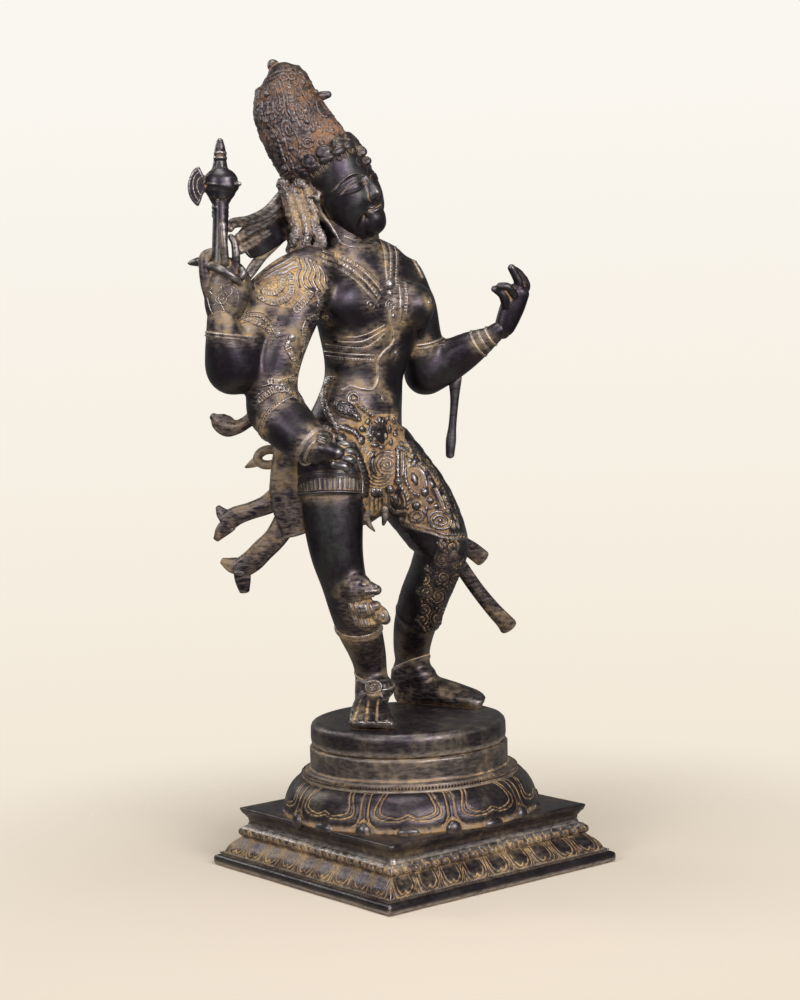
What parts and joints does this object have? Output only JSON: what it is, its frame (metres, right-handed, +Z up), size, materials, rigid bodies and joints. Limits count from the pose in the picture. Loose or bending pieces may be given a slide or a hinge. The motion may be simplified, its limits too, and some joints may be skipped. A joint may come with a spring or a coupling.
{
  "type": "ardhanarishvara statue",
  "caption": "Cast bronze of a standing three-armed deity, half god and half goddess, raising an axe, on a square lotus pedestal.",
  "frame": {"origin": "middle of the pedestal's flat underside", "axes": "+Z up, the figure faces -Y, its left hand is towards +X"},
  "size_m": [0.3905, 0.326, 0.9123],
  "materials": {
    "patinated_bronze": "near black patina, satin, worn brighter on high places",
    "dusted_bronze": "dark patina with ochre dust in the recesses"
  },
  "bodies": {
    "root": {"pedestal": "dusted_bronze", "figure": "patinated_bronze"}
  },
  "joints": []
}
